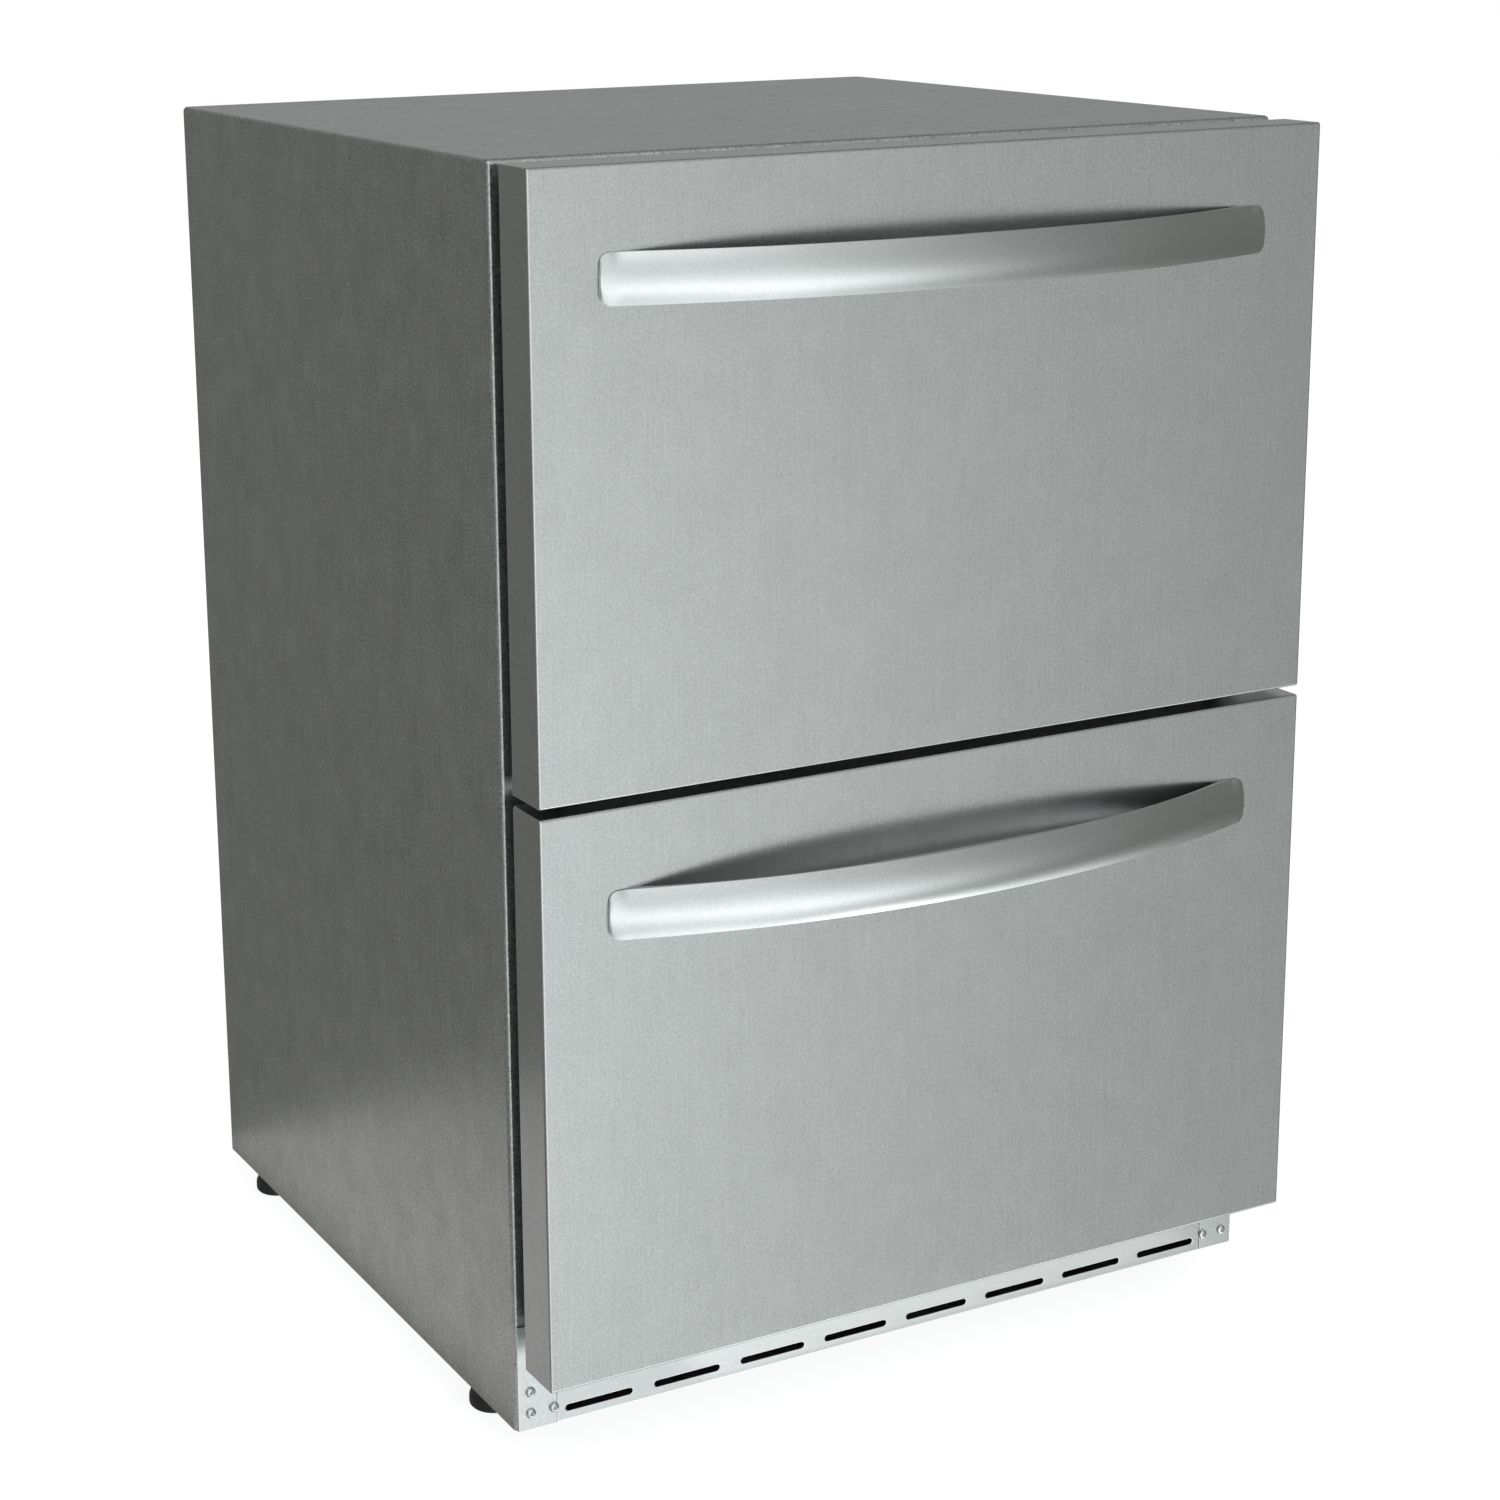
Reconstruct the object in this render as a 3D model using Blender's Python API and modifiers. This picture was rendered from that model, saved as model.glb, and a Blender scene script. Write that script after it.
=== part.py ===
"""Two-drawer under-counter refrigerator, one object for each separate piece.

Metres, +Z up. The drawers face -Y. The origin is the centre of the footprint, on the floor.
"""
import math

import bmesh
import bpy
from mathutils import Matrix, Vector

# Driving dimensions
CASE_WIDTH = 0.603
CASE_DEPTH = 0.541
CASE_HEIGHT = 0.849
FOOT_HEIGHT = 0.027
DRAWER_STANDOFF = 0.0155      # from the case front to the back of a drawer front
DRAWER_THICKNESS = 0.0387
HANDLE_REACH = 0.0448
HANDLE_HEIGHT = 0.0325
DRAWER_TRAVEL = 0.400
FOOT_TRAVEL = 0.020
BUTTON_TRAVEL = 0.0015

GAP = 0.0003                  # between pieces that touch
SHEET = 0.0012
WALL = 0.042                  # outer sheet to liner, with the foam between them
LIP = 0.0275                  # front return of the outer wrap

# Planes worked out from them
OVERALL_DEPTH = CASE_DEPTH + DRAWER_STANDOFF + DRAWER_THICKNESS + HANDLE_REACH
BACK_Y = OVERALL_DEPTH / 2
FRONT_Y = BACK_Y - CASE_DEPTH
PAN_BACK_Y = FRONT_Y - DRAWER_STANDOFF
FACE_Y = PAN_BACK_Y - DRAWER_THICKNESS
HALF_WIDTH = CASE_WIDTH / 2
BASE_Z = FOOT_HEIGHT
TOP_Z = BASE_Z + CASE_HEIGHT

# Cold compartment, inside faces
CAVITY_X = HALF_WIDTH - WALL
CAVITY_FLOOR = BASE_Z + 0.092
CAVITY_TOP = TOP_Z - WALL
CAVITY_BACK = BACK_Y - 0.045
STEP_Y = 0.090                # face of the step over the machine compartment
STEP_Z = CAVITY_FLOOR + 0.155
COVER_Y = 0.215               # false back wall in front of the evaporator

# Machine compartment under and behind the foam
FLOOR_SHEET_Z = BASE_Z + 0.0515
RISER_Y = STEP_Y + 0.039
MACHINE_TOP = STEP_Z - 0.043
PAN_Z = BASE_Z + 0.0022
REAR_COVER_Y = BACK_Y - 0.010
KICK_TOP = BASE_Z + 0.076
BRACKET_X = 0.2712            # inner edge of a corner bracket
BRACKET_OUTER_X = HALF_WIDTH - 0.0015

# Drawers: bottom and top of each front, and of each tray
FRONT_HALF_WIDTH = 0.301
RAIL_BOTTOM = 0.444
RAIL_TOP = 0.5045
DRAWERS = {
    "upper": {"front": (BASE_Z + 0.4504, BASE_Z + 0.8478), "tray": (0.512, 0.790),
              "tray_back": 0.205, "seal": (RAIL_TOP - 0.0171, TOP_Z - 0.0112),
              "slide_z": 0.600, "handle_z": BASE_Z + 0.7785},
    "lower": {"front": (BASE_Z + 0.0522, BASE_Z + 0.4441), "tray": (0.127, 0.425),
              "tray_back": 0.080, "seal": (KICK_TOP + 0.001, RAIL_BOTTOM + 0.0171),
              "slide_z": 0.335, "handle_z": BASE_Z + 0.3735},
}
TRAY_X = 0.2459
PAN_LIP = 0.008

# Slides, three nested channels on each side
SLIDE_FRONT = FRONT_Y + 0.006
SLIDE_BACK = SLIDE_FRONT + DRAWER_TRAVEL
RUNNER_BACK = SLIDE_BACK - 0.006

FOOT_PLACES = [(side * 0.275, y) for y in (FRONT_Y + 0.091, BACK_Y - 0.034) for side in (-1, 1)]
SCREW_PLACES = [(0.2910, BASE_Z + 0.0275), (0.2910, BASE_Z + 0.0120), (0.2737, BASE_Z + 0.0120)]
FAN_PLACES = {
    "condenser": {"centre": (-0.155, 0.200, 0.118), "radius": 0.070, "motor": (0.026, 0.036)},
    "evaporator": {"centre": (0.0, 0.233, 0.700), "radius": 0.046, "motor": (0.019, 0.030)},
}
MOTOR_STANDOFF = 0.0110       # from a fan's middle to the front of its motor
SHAFT_END = 0.0185
BUTTON_XS = (0.022, 0.042, 0.062)
BUTTON_Z = 0.821
BUTTON_SEAT = 0.0040          # how far a button reaches into its hole at rest

FINISHES = {
    "stainless": ((0.56, 0.58, 0.57), 0.32, 1.0),
    "galvanised": ((0.50, 0.52, 0.53), 0.50, 1.0),
    "bright_steel": ((0.72, 0.73, 0.73), 0.22, 1.0),
    "liner": ((0.74, 0.75, 0.75), 0.38, 1.0),
    "foam": ((0.80, 0.70, 0.48), 0.95, 0.0),
    "black_plastic": ((0.02, 0.02, 0.022), 0.50, 0.0),
    "grey_plastic": ((0.30, 0.31, 0.32), 0.45, 0.0),
    "seal_rubber": ((0.025, 0.027, 0.035), 0.65, 0.0),
    "white_plastic": ((0.78, 0.79, 0.79), 0.40, 0.0),
    "black_enamel": ((0.012, 0.012, 0.013), 0.28, 0.0),
    "aluminium": ((0.78, 0.79, 0.80), 0.36, 1.0),
    "copper": ((0.72, 0.36, 0.20), 0.30, 1.0),
}

parts = bpy.data.collections.new("under_counter_refrigerator")
guides = bpy.data.collections.new("cutters")


def clear_scene():
    for item in list(bpy.data.objects):
        bpy.data.objects.remove(item)
    bpy.context.scene.collection.children.link(parts)
    bpy.context.scene.collection.children.link(guides)


def paint(item, finish):
    """Gives the object its own material in one of the finishes."""
    colour, roughness, metallic = FINISHES[finish]
    material = bpy.data.materials.new(item.name)
    material.use_nodes = True
    shader = material.node_tree.nodes["Principled BSDF"]
    shader.inputs["Base Color"].default_value = (*colour, 1.0)
    shader.inputs["Roughness"].default_value = roughness
    shader.inputs["Metallic"].default_value = metallic
    item.data.materials.clear()
    item.data.materials.append(material)


def settle(item):
    """Turns an object, with its modifiers, into one welded mesh that faces out."""
    bpy.context.view_layer.update()
    view = item.evaluated_get(bpy.context.evaluated_depsgraph_get())
    mesh = bpy.data.meshes.new_from_object(view)
    work = bmesh.new()
    work.from_mesh(mesh)
    bmesh.ops.remove_doubles(work, verts=work.verts, dist=0.000005)
    bmesh.ops.dissolve_degenerate(work, edges=work.edges, dist=0.000005)
    bmesh.ops.recalc_face_normals(work, faces=work.faces)
    work.to_mesh(mesh)
    work.free()
    solid = bpy.data.objects.new(item.name + "_solid", mesh)
    solid.matrix_world = item.matrix_world
    name = item.name
    bpy.data.objects.remove(item)
    solid.name = name
    parts.objects.link(solid)
    return solid


def from_bmesh(name, work):
    mesh = bpy.data.meshes.new(name)
    work.to_mesh(mesh)
    work.free()
    item = bpy.data.objects.new(name, mesh)
    parts.objects.link(item)
    return item


def box(name, low, high, bevel=0.0, segments=1):
    """A block between two corners, with all of its edges rounded."""
    size = Vector(high) - Vector(low)
    work = bmesh.new()
    bmesh.ops.create_cube(work, size=1.0)
    bmesh.ops.scale(work, vec=size, verts=work.verts)
    bmesh.ops.translate(work, vec=Vector(low) + size / 2, verts=work.verts)
    item = from_bmesh(name, work)
    if bevel:
        rounding = item.modifiers.new("edges", "BEVEL")
        rounding.width = bevel
        rounding.segments = segments
    return item


def open_box(name, low, high, open_sides, thickness, lip_side=None, lip=0.0):
    """A folded sheet box: some sides left out, and a return lip round one open side."""
    item = box(name, low, high)
    work = bmesh.new()
    work.from_mesh(item.data)
    for direction in open_sides:
        faces = [f for f in work.faces if f.normal.dot(Vector(direction)) > 0.9]
        bmesh.ops.delete(work, geom=faces, context="FACES_ONLY")
    if lip_side:
        axis = Vector(lip_side)
        edges = [e for e in work.edges if e.is_boundary
                 and all(abs((v.co - Vector(high if sum(axis) > 0 else low)).dot(axis)) < 1e-6
                         for v in e.verts)]
        grown = bmesh.ops.extrude_edge_only(work, edges=edges)["geom"]
        centre = (Vector(low) + Vector(high)) / 2
        for vert in (g for g in grown if isinstance(g, bmesh.types.BMVert)):
            for i in range(3):
                if abs(axis[i]) > 0.5:
                    continue
                ends_open = any(Vector(d)[i] * (vert.co[i] - centre[i]) > 0 for d in open_sides)
                if not ends_open:
                    vert.co[i] -= math.copysign(lip, vert.co[i] - centre[i])
    work.to_mesh(item.data)
    work.free()
    skin = item.modifiers.new("sheet", "SOLIDIFY")
    skin.thickness = thickness
    skin.offset = -1.0
    skin.use_even_offset = True
    return item


PLANES = {
    "XY": Matrix.Identity(4),
    "XZ": Matrix.Rotation(math.radians(90), 4, "X"),
    "YZ": Matrix(((0, 0, 1, 0), (1, 0, 0, 0), (0, 1, 0, 0), (0, 0, 0, 1))),
}


def plate(name, outlines, plane, low, high):
    """A flat outline with its holes, drawn in a plane and filled from low to high across it."""
    curve = bpy.data.curves.new(name, "CURVE")
    curve.dimensions = "2D"
    curve.fill_mode = "BOTH"
    curve.extrude = (high - low) / 2
    for outline in outlines:
        spline = curve.splines.new("POLY")
        spline.points.add(len(outline) - 1)
        for point, (a, b) in zip(spline.points, outline):
            point.co = (a, b, 0.0, 1.0)
        spline.use_cyclic_u = True
    item = bpy.data.objects.new(name, curve)
    middle = (low + high) / 2
    across = -middle if plane == "XZ" else middle
    item.matrix_world = PLANES[plane] @ Matrix.Translation((0, 0, across))
    parts.objects.link(item)
    return settle(item)


def rectangle(a0, b0, a1, b1):
    return [(a0, b0), (a1, b0), (a1, b1), (a0, b1)]


def rounded_rectangle(a0, b0, a1, b1, radius, steps=4):
    points = []
    corners = [(a1 - radius, b0 + radius, -90), (a1 - radius, b1 - radius, 0),
               (a0 + radius, b1 - radius, 90), (a0 + radius, b0 + radius, 180)]
    for a, b, start in corners:
        for i in range(steps + 1):
            angle = math.radians(start + 90 * i / steps)
            points.append((a + radius * math.cos(angle), b + radius * math.sin(angle)))
    return points


def slot(a, b, length, height, steps=4):
    """A round-ended slot, long along its first coordinate."""
    points = []
    reach = (length - height) / 2
    for side, start in ((1, -90), (-1, 90)):
        for i in range(steps + 1):
            angle = math.radians(start + 180 * i / steps)
            points.append((a + side * reach + height / 2 * math.cos(angle),
                           b + height / 2 * math.sin(angle)))
    return points


def circle(a, b, radius, steps):
    turns = (2 * math.pi * i / steps for i in range(steps))
    return [(a + radius * math.cos(t), b + radius * math.sin(t)) for t in turns]


def turned(name, profile, centre, steps, along_y=False):
    """A profile of (radius, height), from its top end to its bottom one, turned about an axis."""
    mesh = bpy.data.meshes.new(name)
    points = [(radius, 0.0, height) for radius, height in profile]
    mesh.from_pydata(points, [(i, i + 1) for i in range(len(points) - 1)], [])
    item = bpy.data.objects.new(name, mesh)
    spin = item.modifiers.new("turn", "SCREW")
    spin.steps = steps
    spin.render_steps = steps
    spin.use_merge_vertices = True
    spin.merge_threshold = 0.00001
    turn = Matrix.Rotation(math.radians(90), 4, "X") if along_y else Matrix.Identity(4)
    item.matrix_world = Matrix.Translation(centre) @ turn
    parts.objects.link(item)
    return item


def cut(item, cutter):
    """Takes the cutter's shape out of the object."""
    as_guide(cutter)
    step = item.modifiers.new("cut", "BOOLEAN")
    step.operation = "DIFFERENCE"
    step.object = cutter


def join(item, other):
    """Makes the other piece part of the object."""
    as_guide(other)
    step = item.modifiers.new("join", "BOOLEAN")
    step.operation = "UNION"
    step.object = other


def as_guide(item):
    parts.objects.unlink(item)
    guides.objects.link(item)
    item.hide_render = True
    item.display_type = "WIRE"


def drill(item, name, a, b, radius, low, high, plane="XZ"):
    cut(item, plate(name, [circle(a, b, radius, 12)], plane, low, high))


def smooth(item):
    item.data.shade_smooth()
    item.data.set_sharp_from_angle(angle=math.radians(35))


def carrier(name, place):
    """The empty that a moving body hangs from, on its joint's axis."""
    empty = bpy.data.objects.new(name, None)
    empty.location = place
    parts.objects.link(empty)
    bpy.context.view_layer.update()
    return empty


def hang(item, empty):
    item.parent = empty
    item.matrix_parent_inverse = empty.matrix_world.inverted()


# Case

def make_outer_wrap():
    wrap = open_box("outer_wrap", (-HALF_WIDTH, FRONT_Y, BASE_Z), (HALF_WIDTH, BACK_Y, TOP_Z),
                    [(0, -1, 0), (0, 1, 0), (0, 0, -1)], SHEET, (0, -1, 0), LIP)
    clearance = 0.0021
    foot_slot = box("wrap_bracket_slot", (-BRACKET_OUTER_X - 0.0005, FRONT_Y - 0.001, BASE_Z - 0.001),
                    (BRACKET_OUTER_X + 0.0005, FRONT_Y + 0.002, BASE_Z + clearance))
    cut(wrap, foot_slot)
    for side in (-1, 1):
        for i, (x, z) in enumerate(SCREW_PLACES):
            drill(wrap, f"wrap_hole_{side}_{i}", side * x, z, 0.0022, FRONT_Y - 0.001, FRONT_Y + 0.003)
    paint(wrap, "stainless")


def make_back():
    inside = HALF_WIDTH - SHEET - GAP
    panel = plate("back_panel", [rectangle(-inside, MACHINE_TOP + 0.0015, inside, TOP_Z - SHEET - GAP)],
                  "XZ", BACK_Y - 0.001, BACK_Y)
    paint(panel, "galvanised")
    louvres = [slot(x, z, 0.050, 0.006)
               for z in (0.150, 0.166, 0.182, 0.198)
               for x in (-0.225, -0.160, -0.095, -0.030, 0.095, 0.160, 0.225)]
    gland_hole = circle(0.225, 0.070, 0.0105, 16)
    outline = rectangle(-inside, PAN_Z + SHEET + 0.017, inside, MACHINE_TOP - 0.0015)
    cover = plate("rear_machine_cover", [outline, gland_hole] + louvres, "XZ",
                  REAR_COVER_Y, REAR_COVER_Y + 0.001)
    paint(cover, "galvanised")
    gland = turned("cord_gland", [(0.0045, 0.014), (0.0075, 0.014), (0.0090, 0.008), (0.0100, 0.0065),
                                  (0.0100, 0.0013), (0.0135, 0.0013), (0.0135, -0.0025),
                                  (0.0045, -0.0025), (0.0045, 0.014)],
                   (0.225, REAR_COVER_Y + 0.0026, 0.070), 16, along_y=True)
    gland = settle(gland)
    smooth(gland)
    paint(gland, "black_plastic")


def make_base():
    inside = HALF_WIDTH - SHEET - GAP
    base = open_box("base_pan", (-inside, FRONT_Y + 0.002, PAN_Z),
                    (inside, REAR_COVER_Y - 0.001, PAN_Z + 0.016),
                    [(0, 0, 1), (0, -1, 0), (0, 1, 0)], SHEET)
    for i, (x, y) in enumerate(FOOT_PLACES):
        drill(base, f"foot_hole_{i}", x, y, 0.0062, PAN_Z - 0.001, PAN_Z + 0.003, plane="XY")
    paint(base, "galvanised")


def stepped_profile(front, floor, step_y, step_z, back, top):
    """Side view of the compartment: a box with its lower rear corner stepped up."""
    return [(front, floor), (step_y, floor), (step_y, step_z), (back, step_z), (back, top), (front, top)]


def stepped_block(name, half_width, profile):
    return plate(name, [profile], "YZ", -half_width, half_width)


def tub_block(name, front, growth):
    """The cold compartment as a solid, from front to back, grown on all its other sides."""
    return stepped_block(name, CAVITY_X + growth, stepped_profile(
        front, CAVITY_FLOOR - growth, STEP_Y + growth, STEP_Z - growth,
        CAVITY_BACK + growth, CAVITY_TOP + growth))


def make_tub():
    """Liner, foam round it and the folded sheet under the foam."""
    front = FRONT_Y + 0.0043
    liner = tub_block("inner_liner", front, SHEET)
    cut(liner, tub_block("liner_hollow", front - 0.050, 0.0))
    paint(liner, "liner")

    inside = HALF_WIDTH - SHEET - GAP
    foam_front = front + 0.0002
    foam = stepped_block("insulation_foam", inside, stepped_profile(
        foam_front, FLOOR_SHEET_Z + GAP, RISER_Y - GAP, MACHINE_TOP + GAP,
        BACK_Y - 0.001 - GAP, TOP_Z - SHEET - GAP))
    cut(foam, tub_block("foam_hollow", front - 0.050, SHEET + GAP))
    paint(foam, "foam")

    thickness = 0.001
    low, high = FLOOR_SHEET_Z, MACHINE_TOP
    fold = [(foam_front, low), (RISER_Y, low), (RISER_Y, high), (BACK_Y - 0.0013, high)]
    under = [(BACK_Y - 0.0013, high - thickness), (RISER_Y + thickness, high - thickness),
             (RISER_Y + thickness, low - thickness), (foam_front, low - thickness)]
    floor = plate("case_floor", [fold + under], "YZ", -inside, inside)
    paint(floor, "galvanised")


def make_front_frame():
    edge = HALF_WIDTH - LIP - GAP
    ring = [rectangle(-edge, KICK_TOP + 0.0005, edge, TOP_Z - LIP - GAP),
            rectangle(-CAVITY_X, CAVITY_FLOOR, CAVITY_X, CAVITY_TOP)]
    frame = plate("front_frame", ring, "XZ", FRONT_Y, FRONT_Y + 0.004)
    paint(frame, "grey_plastic")
    half = CAVITY_X - GAP
    rail = box("centre_rail", (-half, FRONT_Y, RAIL_BOTTOM), (half, FRONT_Y + 0.041, RAIL_TOP), 0.001)
    paint(rail, "stainless")


def make_kick_strip():
    back = FRONT_Y - GAP
    edge = BRACKET_X - GAP
    pitch = 0.0683
    slots = [slot((i - 3.5) * pitch, BASE_Z + 0.0085, 0.0513, 0.0048, steps=6) for i in range(8)]
    grille = plate("kick_grille", [rectangle(-edge, BASE_Z, edge, KICK_TOP)] + slots,
                   "XZ", back - SHEET, back)
    paint(grille, "stainless")
    face = back - 0.0015
    fold = [(face, BASE_Z), (face + 0.030, BASE_Z), (face + 0.030, BASE_Z + 0.0015),
            (back, BASE_Z + 0.0015), (back, KICK_TOP), (face, KICK_TOP)]
    number = 0
    for side, word in ((-1, "left"), (1, "right")):
        low, high = sorted((side * BRACKET_X, side * BRACKET_OUTER_X))
        bracket = plate(f"corner_bracket_{word}", [fold], "YZ", low, high)
        for i, (x, z) in enumerate(SCREW_PLACES):
            drill(bracket, f"bracket_hole_{word}_{i}", side * x, z, 0.0018, face - 0.002, back + 0.002)
        paint(bracket, "bright_steel")
        for x, z in SCREW_PLACES:
            number += 1
            make_screw(f"kick_screw_{number}", (side * x, face - GAP, z))


def make_screw(name, place):
    """Button-head screw along Y, with a six-sided socket; place is the middle of its seat."""
    dome = [(0.0, 0.0022), (0.0016, 0.0021), (0.0028, 0.0016), (0.0036, 0.0004), (0.0036, 0.0),
            (0.0014, 0.0), (0.0014, -0.0080), (0.0, -0.0080)]
    screw = turned(name, dome, place, 12, along_y=True)
    x, y, z = place
    socket = plate(name + "_socket", [circle(x, z, 0.0013, 6)], "XZ", y - 0.004, y - 0.0008)
    cut(screw, socket)
    screw = settle(screw)
    smooth(screw)
    paint(screw, "bright_steel")


# Refrigeration

def finned_block(name, low, high, fins, spine):
    """A coil block: upright fins that hang from a spine, filled through its depth."""
    x0, y0, z0 = low
    x1, y1, z1 = high
    pitch = (x1 - x0) / (fins - 0.5)
    outline = [(x1, z1), (x0, z1)]
    for i in range(fins):
        left = x0 + i * pitch
        right = left + pitch / 2
        if i:
            outline.append((left, z1 - spine))
        outline += [(left, z0), (right, z0)]
        if i < fins - 1:
            outline.append((right, z1 - spine))
    return plate(name, [outline], "XZ", y0, y1)


def make_coils():
    condenser = finned_block("condenser_coil", (-0.258, 0.136, 0.036), (-0.052, 0.176, 0.200), 22, 0.006)
    paint(condenser, "black_enamel")
    evaporator = finned_block("evaporator_coil", (-0.180, 0.228, 0.330), (0.180, 0.268, 0.610), 24, 0.008)
    paint(evaporator, "aluminium")


def make_compressor():
    """A hermetic pot on a plate with four rubber mounts."""
    x, y = 0.135, 0.228
    foot = PAN_Z + SHEET + GAP
    pot = [(0.0, 0.148), (0.030, 0.145), (0.052, 0.132), (0.062, 0.108), (0.063, 0.060), (0.067, 0.056),
           (0.067, 0.050), (0.063, 0.046), (0.060, 0.022), (0.048, 0.008), (0.0, 0.006)]
    compressor = turned("compressor", pot, (x, y, foot), 20)
    tray = box("compressor_plate", (x - 0.080, y - 0.060, foot + 0.009), (x + 0.080, y + 0.060, foot + 0.012))
    join(compressor, tray)
    for side in (-1, 1):
        for end in (-1, 1):
            grommet = plate(f"grommet_{side}_{end}", [circle(x + side * 0.068, y + end * 0.048, 0.009, 10)],
                            "XY", foot, foot + 0.014)
            join(compressor, grommet)
    compressor = settle(compressor)
    smooth(compressor)
    paint(compressor, "black_enamel")


def make_tubing():
    drier = turned("filter_drier", [(0.0, 0.060), (0.003, 0.060), (0.0035, 0.052), (0.010, 0.042),
                                    (0.010, -0.042), (0.0035, -0.052), (0.003, -0.060), (0.0, -0.060)],
                   (0.020, 0.170, 0.110), 12)
    drier = settle(drier)
    smooth(drier)
    paint(drier, "copper")
    route = [(0.020, 0.170, 0.049), (0.020, 0.170, 0.042), (0.014, 0.170, 0.036), (-0.004, 0.170, 0.036),
             (-0.030, 0.158, 0.036), (-0.046, 0.156, 0.036), (-0.0505, 0.156, 0.036)]
    curve = bpy.data.curves.new("liquid_tube", "CURVE")
    curve.dimensions = "3D"
    curve.bevel_depth = 0.0025
    curve.bevel_resolution = 2
    curve.use_fill_caps = True
    spline = curve.splines.new("POLY")
    spline.points.add(len(route) - 1)
    for point, place in zip(spline.points, route):
        point.co = (*place, 1.0)
    tube = bpy.data.objects.new("liquid_tube", curve)
    parts.objects.link(tube)
    tube = settle(tube)
    smooth(tube)
    paint(tube, "copper")


def make_fan(kind):
    """Hub, shaft and pitched blades, turning about Y in front of a motor."""
    place = FAN_PLACES[kind]
    x, y, z = place["centre"]
    radius = place["radius"]
    hub = radius * 0.27
    fan = turned(f"{kind}_fan", [(0.0, 0.008), (hub * 0.8, 0.008), (hub, 0.006), (hub, -0.005),
                                 (0.0025, -0.005), (0.0025, -SHAFT_END), (0.0, -SHAFT_END)],
                 (x, y, z), 20, along_y=True)
    chord = radius * 0.62
    thickness = 0.0018
    blades = 5
    for i in range(blades):
        blade = box(f"{kind}_blade_{i}", (hub * 0.7, -chord / 2, -thickness / 2),
                    (radius, chord / 2, thickness / 2))
        pitch = Matrix.Rotation(math.radians(24), 4, "X")
        lie = Matrix.Rotation(math.radians(90), 4, "X")
        around = Matrix.Rotation(2 * math.pi * i / blades, 4, "Y")
        blade.matrix_world = Matrix.Translation((x, y, z)) @ around @ lie @ pitch
        join(fan, blade)
    fan = settle(fan)
    smooth(fan)
    paint(fan, "black_plastic" if kind == "condenser" else "white_plastic")
    hang(fan, carrier(f"{kind}_fan_body", (x, y, z)))


def motor_profile(radius, length):
    """A motor with a blind bore for the fan's shaft; the bore opens at the top end."""
    bore = 0.0031
    return [(0.0, -0.010), (bore, -0.010), (bore, 0.0), (radius, 0.0), (radius, -length), (0.0, -length)]


def make_fan_mounts():
    x, y, z = FAN_PLACES["condenser"]["centre"]
    radius = FAN_PLACES["condenser"]["radius"]
    front = 0.1795
    outline = rectangle(-0.262, 0.036, -0.046, 0.203)
    shroud = plate("condenser_fan_shroud", [outline, circle(x, z, radius + 0.003, 28)],
                   "XZ", front, front + 0.0015)
    motor = turned("condenser_motor", motor_profile(*FAN_PLACES["condenser"]["motor"]),
                   (x, y + MOTOR_STANDOFF, z), 20, along_y=True)
    motor = settle(motor)
    join(shroud, motor)
    arm_y = y + 0.024
    corner = radius + 0.008
    for i in range(4):
        turn = Matrix.Rotation(math.radians(45 + 90 * i), 4, "Y")
        place = Matrix.Translation((x, 0, z)) @ turn
        arm = box(f"shroud_arm_{i}", (0.022, arm_y, -0.003), (corner + 0.004, arm_y + 0.004, 0.003))
        post = box(f"shroud_post_{i}", (corner, front + 0.0005, -0.0025),
                   (corner + 0.005, arm_y + 0.003, 0.0025))
        arm.matrix_world = place
        post.matrix_world = place
        join(shroud, arm)
        join(shroud, post)
    shroud = settle(shroud)
    paint(shroud, "galvanised")

    x, y, z = FAN_PLACES["evaporator"]["centre"]
    motor = turned("evaporator_fan_motor", motor_profile(*FAN_PLACES["evaporator"]["motor"]),
                   (x, y + MOTOR_STANDOFF, z), 16, along_y=True)
    motor = settle(motor)
    smooth(motor)
    paint(motor, "grey_plastic")


def make_evaporator_cover():
    x, _, z = FAN_PLACES["evaporator"]["centre"]
    radius = FAN_PLACES["evaporator"]["radius"] + 0.002
    rows = [row * 0.012 for row in range(-3, 4)]
    guard = [slot(x, z + row, 2 * math.sqrt(radius ** 2 - row ** 2), 0.007) for row in rows]
    returns = [slot(i * 0.070, height, 0.052, 0.007) for i in (-2, -1, 0, 1, 2) for height in (0.300, 0.316)]
    half = CAVITY_X - GAP
    outline = rectangle(-half, STEP_Z + GAP, half, CAVITY_TOP - GAP)
    cover = plate("evaporator_cover", [outline] + guard + returns, "XZ", COVER_Y, COVER_Y + 0.0015)
    paint(cover, "liner")


# Controls

def make_controls():
    front = FRONT_Y + 0.015
    housing = box("control_housing", (-0.085, front, 0.808), (0.085, front + 0.056, CAVITY_TOP - GAP), 0.0015)
    for i, x in enumerate(BUTTON_XS):
        drill(housing, f"button_hole_{i}", x, BUTTON_Z, 0.0047, front - 0.003,
              front + BUTTON_SEAT + BUTTON_TRAVEL + 0.0005)
    paint(housing, "grey_plastic")
    for x, word in zip(BUTTON_XS, ("set", "up", "down")):
        button = turned(f"{word}_button", [(0.0, 0.0025), (0.0034, 0.0025), (0.0040, 0.0019),
                                           (0.0040, -BUTTON_SEAT), (0.0, -BUTTON_SEAT)],
                        (x, front, BUTTON_Z), 14, along_y=True)
        button = settle(button)
        smooth(button)
        paint(button, "white_plastic")
        hang(button, carrier(f"{word}_button_body", (x, front, BUTTON_Z)))
    lamp = box("interior_light", (-0.110, -0.130, 0.8275), (0.110, -0.100, CAVITY_TOP - GAP), 0.002, 2)
    paint(lamp, "white_plastic")


# Slides and drawers

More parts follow.
